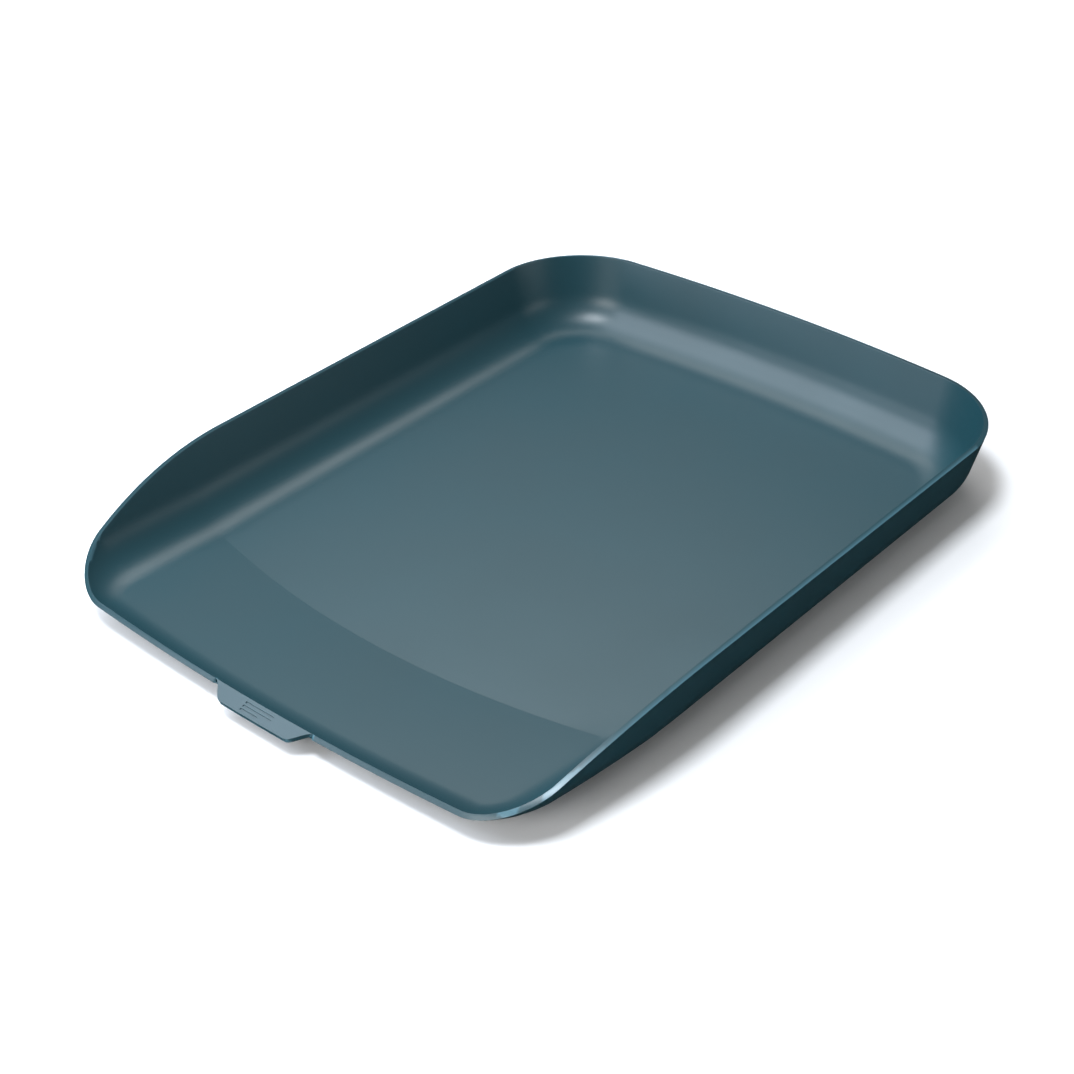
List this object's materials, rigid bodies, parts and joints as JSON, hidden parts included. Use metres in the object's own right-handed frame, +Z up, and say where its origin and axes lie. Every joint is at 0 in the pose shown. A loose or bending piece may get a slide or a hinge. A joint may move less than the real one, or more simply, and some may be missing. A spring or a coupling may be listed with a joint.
{
  "type": "letter tray",
  "caption": "Shallow open desk tray for paper sheets, with flared curved walls, a lowered front lip with a finger tab, and anti-slip feet.",
  "frame": {"origin": "centre of the outline in X and Y, tab included, on the plane the feet stand on", "axes": "+X to the right seen from the front, +Y towards the back wall, +Z up out of the tray"},
  "size_m": [0.2648, 0.3558, 0.0375],
  "materials": {
    "tray_plastic": "fine satin moulded surface",
    "foot_rubber": "matt moulded rubber"
  },
  "bodies": {
    "root": {"tray_shell": "tray_plastic", "foot_front_left": "foot_rubber", "foot_front_right": "foot_rubber", "foot_back_left": "foot_rubber", "foot_back_right": "foot_rubber"}
  },
  "joints": []
}
